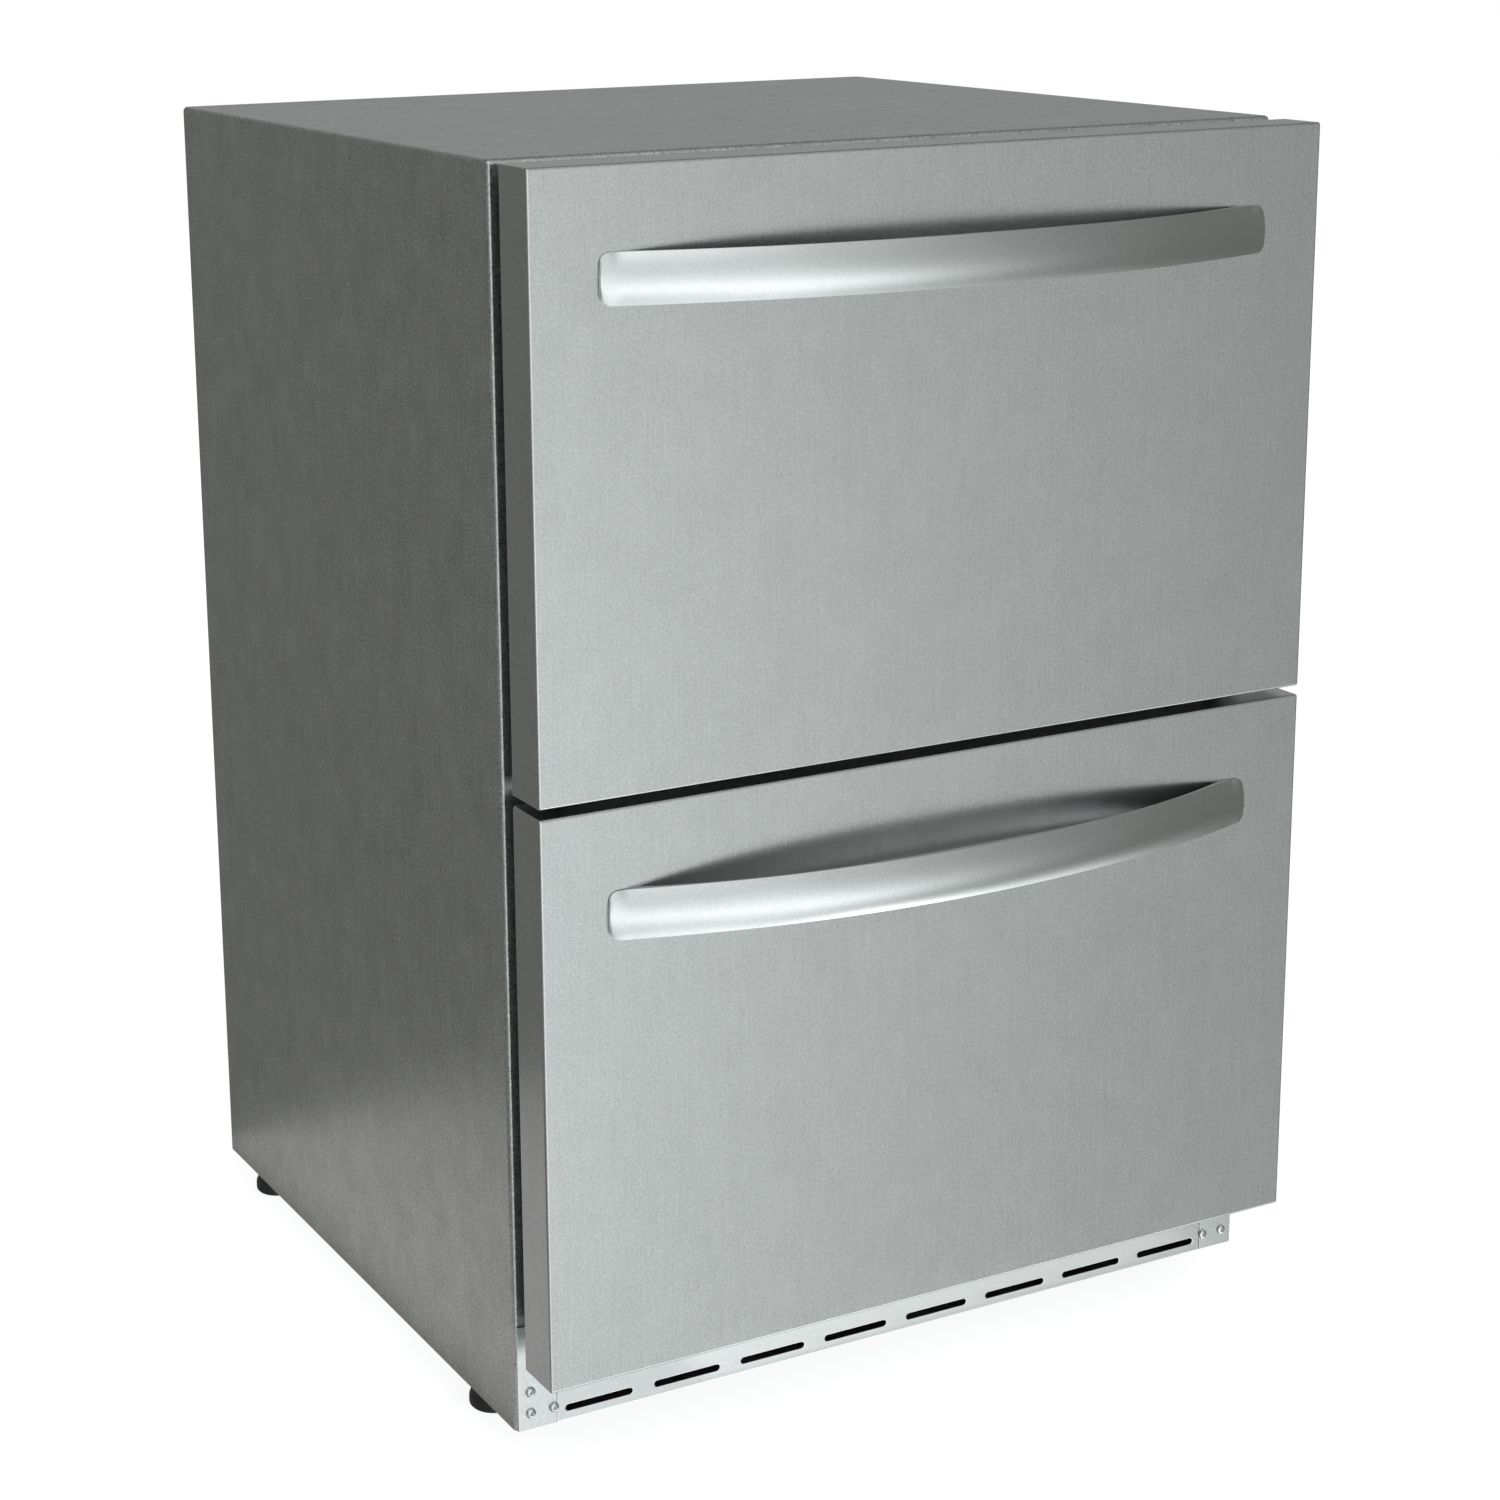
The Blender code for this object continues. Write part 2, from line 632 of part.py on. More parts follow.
def channel(side, outer, depth, half_height, thickness, faces_in):
    """Section of a slide member as (x, z) about the slide's middle; its mouth faces in or out."""
    web, mouth = (outer, outer - depth) if faces_in else (outer - depth, outer)
    step = thickness if faces_in else -thickness
    shape = [(web, -half_height), (mouth, -half_height), (mouth, thickness - half_height),
             (web - step, thickness - half_height), (web - step, half_height - thickness),
             (mouth, half_height - thickness), (mouth, half_height), (web, half_height)]
    return [(side * x, z) for x, z in shape]


def make_slides(level, z, drawer_empty):
    wall = CAVITY_X - GAP
    seat = PAN_BACK_Y - 0.0015
    middle_empty = carrier(f"{level}_slide_body", (0, SLIDE_FRONT, z))
    for side, word in ((-1, "left"), (1, "right")):
        rail = channel(side, wall, 0.0122, 0.0225, SHEET, True)
        middle = channel(side, wall - 0.0026, 0.0090, 0.0195, 0.0011, True)
        runner = channel(side, wall - 0.0060, 0.0070, 0.0160, 0.0011, False)
        members = [
            ("slide_rail", rail, SLIDE_FRONT, SLIDE_BACK, None),
            ("slide_middle", middle, SLIDE_FRONT, SLIDE_BACK, middle_empty),
            ("slide_runner", runner, seat, RUNNER_BACK, drawer_empty),
        ]
        for kind, section, front, back, empty in members:
            member = plate(f"{level}_{kind}_{word}", [[(x, z + up) for x, up in section]], "XZ", front, back)
            paint(member, "bright_steel")
            if empty:
                hang(member, empty)


def handle_outline():
    """Plan of the strap: an outer arc over the full length and an inner one between the end pads."""
    half = 0.2535
    pad = 0.024
    seat = FACE_Y - GAP
    outer_rise = HANDLE_REACH - GAP
    inner_rise = outer_rise - 0.009

    def arc(reach, rise, steps):
        radius = (reach ** 2 + rise ** 2) / (2 * rise)
        span = math.asin(reach / radius)
        turns = (span * (2 * i / steps - 1) for i in range(steps + 1))
        return [(radius * math.sin(t), seat - rise + radius * (1 - math.cos(t))) for t in turns]

    return arc(half, outer_rise, 28) + arc(half - pad, inner_rise, 20)[::-1]


def make_drawer(level):
    sizes = DRAWERS[level]
    low, high = sizes["front"]
    body = carrier(f"{level}_drawer_body", (0, FACE_Y, (low + high) / 2))
    name = f"{level}_drawer"

    pan = open_box(f"{name}_front", (-FRONT_HALF_WIDTH, FACE_Y, low), (FRONT_HALF_WIDTH, PAN_BACK_Y, high),
                   [(0, 1, 0)], SHEET, (0, 1, 0), PAN_LIP)
    paint(pan, "stainless")

    inset = SHEET + GAP
    seat_y = PAN_BACK_Y - SHEET - GAP
    core = box(f"{name}_core", (inset - FRONT_HALF_WIDTH, FACE_Y + inset, low + inset),
               (FRONT_HALF_WIDTH - inset, seat_y, high - inset), 0.0006)
    paint(core, "white_plastic")

    seal_low, seal_high = sizes["seal"]
    seal_x, seal_width = HALF_WIDTH - 0.0112, 0.014
    hole_x = seal_x - seal_width
    ring = [rounded_rectangle(-seal_x, seal_low, seal_x, seal_high, 0.004, 2),
            rectangle(-hole_x, seal_low + seal_width, hole_x, seal_high - seal_width)]
    seal = plate(f"{name}_gasket", ring, "XZ", seat_y + GAP, FRONT_Y - GAP)
    paint(seal, "seal_rubber")

    tray_low, tray_high = sizes["tray"]
    tray = open_box(f"{name}_tray", (-TRAY_X, seat_y + GAP, tray_low),
                    (TRAY_X, sizes["tray_back"], tray_high), [(0, 0, 1)], SHEET)
    paint(tray, "liner")

    bottom = sizes["handle_z"] - HANDLE_HEIGHT / 2
    handle = plate(f"{name}_handle", [handle_outline()], "XY", bottom, bottom + HANDLE_HEIGHT)
    smooth(handle)
    paint(handle, "stainless")

    for piece in (pan, core, seal, tray, handle):
        hang(piece, body)
    make_slides(level, sizes["slide_z"], body)


def make_feet():
    """Levelling legs: a pad, a tapered body and a threaded stem through the base pan."""
    top = PAN_Z - 0.0004
    stem = top + 2 * FOOT_TRAVEL
    for (x, y), word in zip(FOOT_PLACES, ("front_left", "front_right", "rear_left", "rear_right")):
        foot = turned(f"foot_{word}", [(0.0, stem), (0.0045, stem), (0.0050, stem - 0.001),
                                       (0.0050, top), (0.0140, top), (0.0150, 0.014), (0.0180, 0.007),
                                       (0.0180, 0.0015), (0.0165, 0.0), (0.0, 0.0)],
                      (x, y, 0.0), 16)
        foot = settle(foot)
        smooth(foot)
        paint(foot, "black_plastic")
        hang(foot, carrier(f"foot_{word}_body", (x, y, 0.0)))


def build():
    clear_scene()
    make_outer_wrap()
    make_back()
    make_base()
    make_tub()
    make_front_frame()
    make_kick_strip()
    make_coils()
    make_compressor()
    make_tubing()
    make_fan_mounts()
    make_evaporator_cover()
    make_controls()
    for kind in FAN_PLACES:
        make_fan(kind)
    for level in DRAWERS:
        make_drawer(level)
    make_feet()


build()
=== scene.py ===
"""Looks of the two-drawer under-counter refrigerator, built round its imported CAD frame."""
import math

import bmesh
import bpy
from mathutils import Matrix, Vector


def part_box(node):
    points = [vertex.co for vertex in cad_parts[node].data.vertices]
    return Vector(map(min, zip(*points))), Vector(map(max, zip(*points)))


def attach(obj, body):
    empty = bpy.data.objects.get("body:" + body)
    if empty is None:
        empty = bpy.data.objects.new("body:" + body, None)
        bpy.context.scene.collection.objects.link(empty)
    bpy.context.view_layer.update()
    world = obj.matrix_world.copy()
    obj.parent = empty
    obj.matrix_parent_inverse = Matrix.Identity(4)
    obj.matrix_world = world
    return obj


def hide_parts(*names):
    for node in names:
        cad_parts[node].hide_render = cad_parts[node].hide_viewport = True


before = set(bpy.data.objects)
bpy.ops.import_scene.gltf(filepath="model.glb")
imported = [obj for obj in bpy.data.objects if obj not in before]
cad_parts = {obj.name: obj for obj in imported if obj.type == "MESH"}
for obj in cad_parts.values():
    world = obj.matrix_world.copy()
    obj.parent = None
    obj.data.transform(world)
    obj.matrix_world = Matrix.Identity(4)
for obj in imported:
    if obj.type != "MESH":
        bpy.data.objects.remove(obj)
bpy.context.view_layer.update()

LEVELS = ("upper", "lower")
SIDES = (("left", -1), ("right", 1))
DOWN, UP = Vector((0, 0, -1)), Vector((0, 0, 1))
FRONT, BACK = Vector((0, -1, 0)), Vector((0, 1, 0))

# The camera stands to the object's front left, looking a little down
CAMERA_AZIMUTH = -28.229
CAMERA_ELEVATION = 13.809
CAMERA_ROLL = -0.574
CAMERA_DISTANCE = 2.2654
CAMERA_TARGET = Vector((-0.0443, 0.029, 0.4987))
CAMERA_LENS = 73.02
CAMERA_SHIFT = (0.0540, -0.0815)


# Making pieces

def link(name, work):
    """A new object from a bmesh, which it frees."""
    mesh = bpy.data.meshes.new(name)
    work.to_mesh(mesh)
    work.free()
    piece = bpy.data.objects.new(name, mesh)
    bpy.context.scene.collection.objects.link(piece)
    return piece


def finish_piece(piece, material, body, slot, *nodes):
    """Paints a piece, fixes it to its body and says which CAD nodes it stands for."""
    piece.data.materials.clear()
    piece.data.materials.append(material)
    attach(piece, body)
    if nodes:
        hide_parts(*nodes)
    return piece


def settle(piece):
    """Applies the piece's modifiers to its mesh."""
    bpy.context.view_layer.update()
    view = piece.evaluated_get(bpy.context.evaluated_depsgraph_get())
    mesh = bpy.data.meshes.new_from_object(view)
    piece.modifiers.clear()
    piece.data = mesh
    return piece


def even_shading(piece, angle=35):
    """Smooth over the bends and flat on the faces between them."""
    piece.data.shade_smooth()
    piece.data.set_sharp_from_angle(angle=math.radians(angle))
    weighting = piece.modifiers.new("normals", "WEIGHTED_NORMAL")
    weighting.keep_sharp = True
    weighting.weight = 60


def soften(piece, width, segments=2, angle=30):
    """Rounds the edges that turn by more than the angle."""
    rounding = piece.modifiers.new("edges", "BEVEL")
    rounding.width = width
    rounding.segments = segments
    rounding.limit_method = "ANGLE"
    rounding.angle_limit = math.radians(angle)
    rounding.use_clamp_overlap = True


def box_mesh(low, high):
    """A bmesh box between two corners."""
    low, high = Vector(low), Vector(high)
    work = bmesh.new()
    bmesh.ops.create_cube(work, size=1.0)
    bmesh.ops.scale(work, vec=high - low, verts=work.verts)
    bmesh.ops.translate(work, vec=(low + high) / 2, verts=work.verts)
    return work


def thicken(piece, thickness):
    """Gives a surface its sheet thickness, inwards."""
    skin = piece.modifiers.new("sheet", "SOLIDIFY")
    skin.thickness = thickness
    skin.offset = -1.0
    skin.use_even_offset = True


def folded_sheet(name, low, high, open_sides, lip_side, lip, thickness, radius, segments=5):
    """A box folded from sheet: sides left out, a return lip round one of them, and round folds."""
    low, high = Vector(low), Vector(high)
    centre = (low + high) / 2
    work = box_mesh(low, high)
    for side in open_sides:
        faces = [f for f in work.faces if f.normal.dot(side) > 0.9]
        bmesh.ops.delete(work, geom=faces, context="FACES_ONLY")
    rim = (high if sum(lip_side) > 0 else low).dot(lip_side)
    edges = [e for e in work.edges if e.is_boundary
             and all(abs(v.co.dot(lip_side) - rim) < 1e-6 for v in e.verts)]
    grown = bmesh.ops.extrude_edge_only(work, edges=edges)["geom"]
    for vert in (g for g in grown if isinstance(g, bmesh.types.BMVert)):
        for i in range(3):
            away = vert.co[i] - centre[i]
            if abs(lip_side[i]) < 0.5 and not any(side[i] * away > 0 for side in open_sides):
                vert.co[i] -= math.copysign(lip, away)
    folds = [e for e in work.edges if len(e.link_faces) == 2 and e.calc_face_angle() > 0.5]
    bmesh.ops.bevel(work, geom=folds, offset=radius, segments=segments, profile=0.5,
                    affect="EDGES", clamp_overlap=True)
    piece = link(name, work)
    thicken(piece, thickness)
    return piece


def slot_outline(a, b, length, height, steps=10):
    """A round-ended slot about the point (a, b)."""
    reach = (length - height) / 2
    points = []
    for side, start in ((1, -90), (-1, 90)):
        for i in range(steps + 1):
            turn = math.radians(start + 180 * i / steps)
            points.append((a + side * reach + height / 2 * math.cos(turn), b + height / 2 * math.sin(turn)))
    return points


def polygon_outline(a, b, radius, steps):
    """A regular polygon about the point (a, b)."""
    turns = [2 * math.pi * i / steps for i in range(steps)]
    return [(a + radius * math.cos(t), b + radius * math.sin(t)) for t in turns]


def rounded_outline(a0, b0, a1, b1, radii, steps=6):
    """A rectangle with its own radius at each corner, from the lower right one anticlockwise."""
    signs = ((1, -1, -90), (1, 1, 0), (-1, 1, 90), (-1, -1, 180))
    points = []
    for (sa, sb, start), radius in zip(signs, radii):
        a = (a1 if sa > 0 else a0) - sa * radius
        b = (b1 if sb > 0 else b0) - sb * radius
        for i in range(steps + 1 if radius > 0 else 1):
            turn = math.radians(start + 90 * i / steps)
            points.append((a + radius * math.cos(turn), b + radius * math.sin(turn)))
    return points


def mesh_of_curve(curve, closeness):
    """The bmesh of a curve, with its doubled points joined; the curve's object is removed."""
    drawn = bpy.data.objects.new(curve.name + "_line", curve)
    bpy.context.scene.collection.objects.link(drawn)
    bpy.context.view_layer.update()
    mesh = bpy.data.meshes.new_from_object(drawn.evaluated_get(bpy.context.evaluated_depsgraph_get()))
    bpy.data.objects.remove(drawn)
    work = bmesh.new()
    work.from_mesh(mesh)
    bmesh.ops.remove_doubles(work, verts=work.verts, dist=closeness)
    bmesh.ops.recalc_face_normals(work, faces=work.faces)
    return work


FACING = {
    "XZ": Matrix.Rotation(math.radians(90), 4, "X"),
    "YZ": Matrix(((0, 0, 1, 0), (1, 0, 0, 0), (0, 1, 0, 0), (0, 0, 0, 1))),
    "XY": Matrix.Identity(4),
}


def cut_sheet(name, outlines, plane, low, high, edge=0.0):
    """Flat sheet with holes, standing in a plane from low to high across it, its cut edges broken."""
    curve = bpy.data.curves.new(name, "CURVE")
    curve.dimensions = "2D"
    curve.fill_mode = "BOTH"
    curve.extrude = (high - low) / 2 - edge
    curve.bevel_depth = edge
    curve.bevel_resolution = 1
    curve.offset = -edge
    for outline in outlines:
        spline = curve.splines.new("POLY")
        spline.points.add(len(outline) - 1)
        for point, (a, b) in zip(spline.points, outline):
            point.co = (a, b, 0.0, 1.0)
        spline.use_cyclic_u = True
    work = mesh_of_curve(curve, 0.000004)
    middle = (low + high) / 2
    across = -middle if plane == "XZ" else middle
    work.transform(FACING[plane] @ Matrix.Translation((0, 0, across)))
    return link(name, work)


def turned(name, profile, centre, steps=48, axis=UP):
    """A closed profile of (radius, height) turned about an axis through the centre."""
    work = bmesh.new()
    rings = []
    for radius, height in profile:
        if radius < 1e-6:
            rings.append([work.verts.new((0, 0, height))] * steps)
            continue
        turns = (2 * math.pi * i / steps for i in range(steps))
        rings.append([work.verts.new((radius * math.cos(t), radius * math.sin(t), height)) for t in turns])
    closed = profile[0][0] > 1e-6 and profile[-1][0] > 1e-6
    pairs = list(zip(rings, rings[1:])) + ([(rings[-1], rings[0])] if closed else [])
    for above, below in pairs:
        for i in range(steps):
            j = (i + 1) % steps
            corners = list(dict.fromkeys((above[i], above[j], below[j], below[i])))
            if len(corners) > 2:
                work.faces.new(corners)
    bmesh.ops.recalc_face_normals(work, faces=work.faces)
    turn = UP.rotation_difference(Vector(axis)).to_matrix().to_4x4()
    work.transform(Matrix.Translation(centre) @ turn)
    return link(name, work)


def rounded_profile(points, radius, steps=4):
    """The same profile with its inner corners rounded by arcs drawn as quadratic curves."""
    smooth = [points[0]]
    for before, here, after in zip(points, points[1:], points[2:]):
        here_v = Vector(here)
        into = Vector(before) - here_v
        out = Vector(after) - here_v
        reach = min(radius, into.length * 0.45, out.length * 0.45)
        start = here_v + into.normalized() * reach
        end = here_v + out.normalized() * reach
        for i in range(steps + 1):
            t = i / steps
            point = start * (1 - t) ** 2 + here_v * 2 * t * (1 - t) + end * t ** 2
            smooth.append((point.x, point.y))
    return smooth + [points[-1]]


def ring_tube(name, points, radius):
    """A round tube along a smooth closed line drawn to the points."""
    curve = bpy.data.curves.new(name, "CURVE")
    curve.dimensions = "3D"
    curve.bevel_depth = radius
    curve.bevel_resolution = 3
    curve.resolution_u = 3
    spline = curve.splines.new("NURBS")
    spline.points.add(len(points) - 1)
    for point, place in zip(spline.points, points):
        point.co = (*place, 1.0)
    spline.order_u = 3
    spline.use_cyclic_u = True
    return link(name, mesh_of_curve(curve, 0.000005))


def merge(name, pieces):
    """Several shapes as one object."""
    work = bmesh.new()
    for piece in pieces:
        settle(piece)
        piece.data.transform(piece.matrix_world)
        work.from_mesh(piece.data)
        bpy.data.objects.remove(piece)
    return link(name, work)


def carve(piece, cutters):
    """Cuts the shapes out of the piece for good."""
    cutter = merge(piece.name + "_cutter", cutters)
    step = piece.modifiers.new("cut", "BOOLEAN")
    step.operation = "DIFFERENCE"
    step.object = cutter
    settle(piece)
    bpy.data.objects.remove(cutter)


# Materials

def shader_of(name, colour, roughness, metallic):
    """A new material and its shader."""
    material = bpy.data.materials.new(name)
    material.use_nodes = True
    shader = material.node_tree.nodes["Principled BSDF"]
    shader.inputs["Base Color"].default_value = (*colour, 1.0)
    shader.inputs["Roughness"].default_value = roughness
    shader.inputs["Metallic"].default_value = metallic
    return material, shader


def noise(tree, scale, detail=3.0, roughness=0.55, stretch=(1, 1, 1)):
    """Noise laid out in metres, in the object's own frame."""
    place = tree.nodes.new("ShaderNodeTexCoord")
    mapping = tree.nodes.new("ShaderNodeMapping")
    mapping.inputs["Scale"].default_value = stretch
    pattern = tree.nodes.new("ShaderNodeTexNoise")
    pattern.inputs["Scale"].default_value = scale
    pattern.inputs["Detail"].default_value = detail
    pattern.inputs["Roughness"].default_value = roughness
    tree.links.new(place.outputs["Object"], mapping.inputs["Vector"])
    tree.links.new(mapping.outputs["Vector"], pattern.inputs["Vector"])
    return pattern.outputs["Fac"]


def spread(tree, value, low, high, start=0.3, end=0.7):
    """Maps a value from start..end to low..high."""
    node = tree.nodes.new("ShaderNodeMapRange")
    node.inputs["From Min"].default_value = start
    node.inputs["From Max"].default_value = end
    node.inputs["To Min"].default_value = low
    node.inputs["To Max"].default_value = high
    tree.links.new(value, node.inputs["Value"])
    return node.outputs["Result"]


def tint(tree, value, dark, light):
    """Maps 0..1 to a colour between two."""
    node = tree.nodes.new("ShaderNodeMix")
    node.data_type = "RGBA"
    node.inputs["A"].default_value = (*dark, 1.0)
    node.inputs["B"].default_value = (*light, 1.0)
    tree.links.new(value, node.inputs["Factor"])
    return node.outputs["Result"]


def bump(tree, shader, height, strength, distance):
    """Raises the surface by the height, in its shading only."""
    node = tree.nodes.new("ShaderNodeBump")
    node.inputs["Strength"].default_value = strength
    node.inputs["Distance"].default_value = distance
    tree.links.new(height, node.inputs["Height"])
    tree.links.new(node.outputs["Normal"], shader.inputs["Normal"])


def combine(tree, first, second, operation="ADD"):
    """One sum of two sockets or numbers."""
    node = tree.nodes.new("ShaderNodeMath")
    node.operation = operation
    for socket, value in zip(node.inputs, (first, second)):
        if isinstance(value, (int, float)):
            socket.default_value = value
        else:
            tree.links.new(value, socket)
    return node.outputs["Value"]


GRAIN_SCALE = 600.0          # grains of about 1.7 mm
GRAIN_CONTRAST = 0.34


def shade(colour, factor):
    """A lighter or darker colour."""
    return tuple(min(1.0, c * factor) for c in colour)


def brushed_metal(name, colour, roughness, along, depth=1.0, brushing=0.3):
    """Satin sheet: a fine even grain, light brushing along one axis, soft clouds and handling marks."""
    material, shader = shader_of(name, colour, roughness, 1.0)
    tree = material.node_tree
    stretch = [1.0 if axis != along else 0.012 for axis in "XYZ"]
    brushed = noise(tree, 2400.0, 2.0, 0.6, stretch)
    grain = noise(tree, GRAIN_SCALE, 2.5, 0.62)
    clouds = noise(tree, 38.0, 3.0, 0.6)
    marks = noise(tree, 5.5, 4.0, 0.6)
    texture = combine(tree, combine(tree, brushed, brushing, "MULTIPLY"),
                      combine(tree, grain, 1.0 - brushing, "MULTIPLY"))
    mottle = combine(tree, combine(tree, texture, 0.86, "MULTIPLY"), combine(tree, clouds, 0.14, "MULTIPLY"))
    swing = GRAIN_CONTRAST * depth
    pale = tint(tree, spread(tree, mottle, 0, 1), shade(colour, 1 - swing), shade(colour, 1 + swing))
    tree.links.new(pale, shader.inputs["Base Color"])
    fine = spread(tree, texture, roughness - 0.03 * depth, roughness + 0.03 * depth)
    worn = combine(tree, fine, spread(tree, marks, -0.02, 0.02))
    tree.links.new(worn, shader.inputs["Roughness"])
    bump(tree, shader, texture, 0.12 * depth, 0.00005)
    return material


def galvanised_metal(name, colour):
    """Zinc spangle: flat-shaded grains that differ in brightness and sheen."""
    material, shader = shader_of(name, colour, 0.45, 1.0)
    tree = material.node_tree
    place = tree.nodes.new("ShaderNodeTexCoord")
    grains = tree.nodes.new("ShaderNodeTexVoronoi")
    grains.inputs["Scale"].default_value = 130.0
    tree.links.new(place.outputs["Object"], grains.inputs["Vector"])
    split = tree.nodes.new("ShaderNodeSeparateColor")
    tree.links.new(grains.outputs["Color"], split.inputs["Color"])
    pale = tint(tree, split.outputs["Red"], shade(colour, 0.86), shade(colour, 1.10))
    tree.links.new(pale, shader.inputs["Base Color"])
    tree.links.new(spread(tree, split.outputs["Green"], 0.36, 0.52, 0, 1), shader.inputs["Roughness"])
    bump(tree, shader, noise(tree, 420.0), 0.12, 0.00006)
    return material


def moulded_plastic(name, colour, roughness, texture_scale=2200.0, relief=0.25):
    """Spark-eroded plastic: a fine even texture with slow changes of sheen."""
    material, shader = shader_of(name, colour, roughness, 0.0)
    tree = material.node_tree
    pebbles = noise(tree, texture_scale, 2.0, 0.5)
    slow = noise(tree, 9.0, 3.0)
    pale = tint(tree, spread(tree, slow, 0, 1), shade(colour, 0.90), shade(colour, 1.10))
    tree.links.new(pale, shader.inputs["Base Color"])
    worn = combine(tree, spread(tree, pebbles, roughness - 0.05, roughness + 0.05),
                   spread(tree, slow, -0.04, 0.04))
    tree.links.new(worn, shader.inputs["Roughness"])
    bump(tree, shader, pebbles, relief, 0.00008)
    return material


def enamel(name, colour):
    """Sprayed black enamel with orange peel and a little dust."""
    material, shader = shader_of(name, colour, 0.28, 0.0)
    tree = material.node_tree
    peel = noise(tree, 340.0, 2.0)
    dust = noise(tree, 60.0, 5.0, 0.7)
    pale = tint(tree, spread(tree, dust, 0, 1, 0.5, 0.8), colour, shade((1, 1, 1), 0.05))
    tree.links.new(pale, shader.inputs["Base Color"])
    tree.links.new(spread(tree, dust, 0.24, 0.46, 0.4, 0.8), shader.inputs["Roughness"])
    bump(tree, shader, peel, 0.2, 0.0001)
    return material


def copper_metal(name, colour):
    """Drawn copper, darker where it has been handled and brazed."""
    material, shader = shader_of(name, colour, 0.3, 1.0)
    tree = material.node_tree
    stain = noise(tree, 70.0, 4.0, 0.65)
    pale = tint(tree, spread(tree, stain, 0, 1), shade(colour, 0.62), colour)
    tree.links.new(pale, shader.inputs["Base Color"])
    tree.links.new(spread(tree, stain, 0.5, 0.24), shader.inputs["Roughness"])
    return material


def cut_foam(name, colour):
    """Foam with its cells cut open."""
    material, shader = shader_of(name, colour, 0.95, 0.0)
    tree = material.node_tree
    cells = noise(tree, 1400.0, 4.0, 0.7)
    pale = tint(tree, spread(tree, cells, 0, 1), shade(colour, 0.8), colour)
    tree.links.new(pale, shader.inputs["Base Color"])
    bump(tree, shader, cells, 0.6, 0.0004)
    return material


STEEL = (0.634, 0.638, 0.638)
MATERIALS = {
    "wrap_steel": brushed_metal("wrap_steel", STEEL, 0.32, "Z", 1.6),
    "front_steel": brushed_metal("front_steel", STEEL, 0.24, "Z", 0.58),
    # The kick strip's base colour is lighter than the case steel: a painted reflection of the pale floor in
    # front of it
    "strip_steel_painted_reflection": brushed_metal("strip_steel_painted_reflection", (0.80, 0.81, 0.81), 0.28, "X", 0.22),
    "handle_steel": brushed_metal("handle_steel", (0.70, 0.705, 0.705), 0.15, "X", 0.22),
    # The corner plates' base colour is lighter than the case steel: painted light from the floor below the
    # front
    "bracket_steel_painted_light": brushed_metal("bracket_steel_painted_light", (0.80, 0.81, 0.81), 0.34, "Z", 0.4),
    "screw_steel": brushed_metal("screw_steel", (0.78, 0.79, 0.79), 0.16, "X", 0.4),
    "slide_steel": brushed_metal("slide_steel", (0.66, 0.67, 0.69), 0.24, "Y", 0.7),
    "liner_steel": brushed_metal("liner_steel", (0.70, 0.71, 0.71), 0.36, "Z", 0.8),
    "tray_steel": brushed_metal("tray_steel", (0.72, 0.73, 0.73), 0.30, "X", 0.8),
    "galvanised": galvanised_metal("galvanised", (0.50, 0.52, 0.53)),
    "seal_rubber": moulded_plastic("seal_rubber", (0.020, 0.021, 0.028), 0.62, 1500.0, 0.35),
    "black_plastic": moulded_plastic("black_plastic", (0.016, 0.016, 0.018), 0.46),
    "grey_plastic": moulded_plastic("grey_plastic", (0.22, 0.23, 0.24), 0.45),
    "white_plastic": moulded_plastic("white_plastic", (0.74, 0.75, 0.75), 0.34, 1500.0, 0.15),
    "lamp_lens": moulded_plastic("lamp_lens", (0.86, 0.87, 0.88), 0.30, 500.0, 0.3),
    "black_enamel": enamel("black_enamel", (0.010, 0.010, 0.011)),
    "aluminium": brushed_metal("aluminium", (0.78, 0.79, 0.80), 0.34, "Z", 0.8),
    "copper": copper_metal("copper", (0.78, 0.40, 0.24)),
    "foam": cut_foam("foam", (0.80, 0.70, 0.48)),
    "display": enamel("display", (0.006, 0.007, 0.009)),
}


# Outside of the case

def make_wrap():
    """The top and both sides, folded from one sheet with a return round the front."""
    low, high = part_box("outer_wrap")
    lip, thickness, fold_radius = 0.0275, 0.0012, 0.0034
    wrap = folded_sheet("case_wrap", low, high, [FRONT, BACK, DOWN], FRONT, lip, thickness, fold_radius)
    even_shading(wrap)
    finish_piece(wrap, MATERIALS["wrap_steel"], "root", "stainless", "outer_wrap")


def make_kick_strip():
    """The strip with its row of round-ended slots, and the corner plates at its ends."""
    low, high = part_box("kick_grille")
    count, pitch, slot_length, slot_height = 8, 0.0683, 0.0513, 0.0048
    height = low.z + 0.0085
    edges = [(low.x, low.z), (high.x, low.z), (high.x, high.z), (low.x, high.z)]
    slots = [slot_outline((i - (count - 1) / 2) * pitch, height, slot_length, slot_height)
             for i in range(count)]
    grille = cut_sheet("kick_strip", [edges] + slots, "XZ", low.y, high.y, 0.0005)
    even_shading(grille)
    finish_piece(grille, MATERIALS["strip_steel_painted_reflection"], "root", "stainless", "kick_grille")
    for word, side in SIDES:
        make_bracket(word, side)


def make_bracket(word, side):
    """Corner plate with a rounded upper inside corner, folded back under the case."""
    node = f"corner_bracket_{word}"
    low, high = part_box(node)
    radius = 0.006
    radii = (0, radius, 0, 0) if side < 0 else (0, 0, radius, 0)
    outline = rounded_outline(low.x, low.z, high.x, high.z, radii)
    plate = cut_sheet(f"bracket_plate_{word}", [outline], "XZ", low.y, low.y + 0.0015, 0.0004)
    foot = link(f"bracket_foot_{word}",
                box_mesh((low.x, low.y + 0.001, low.z), (high.x, high.y, low.z + 0.0015)))
    soften(foot, 0.0003)
    bracket = merge(f"corner_plate_{word}", [plate, foot])
    even_shading(bracket)
    finish_piece(bracket, MATERIALS["bracket_steel_painted_light"], "root", "bright_steel", node)


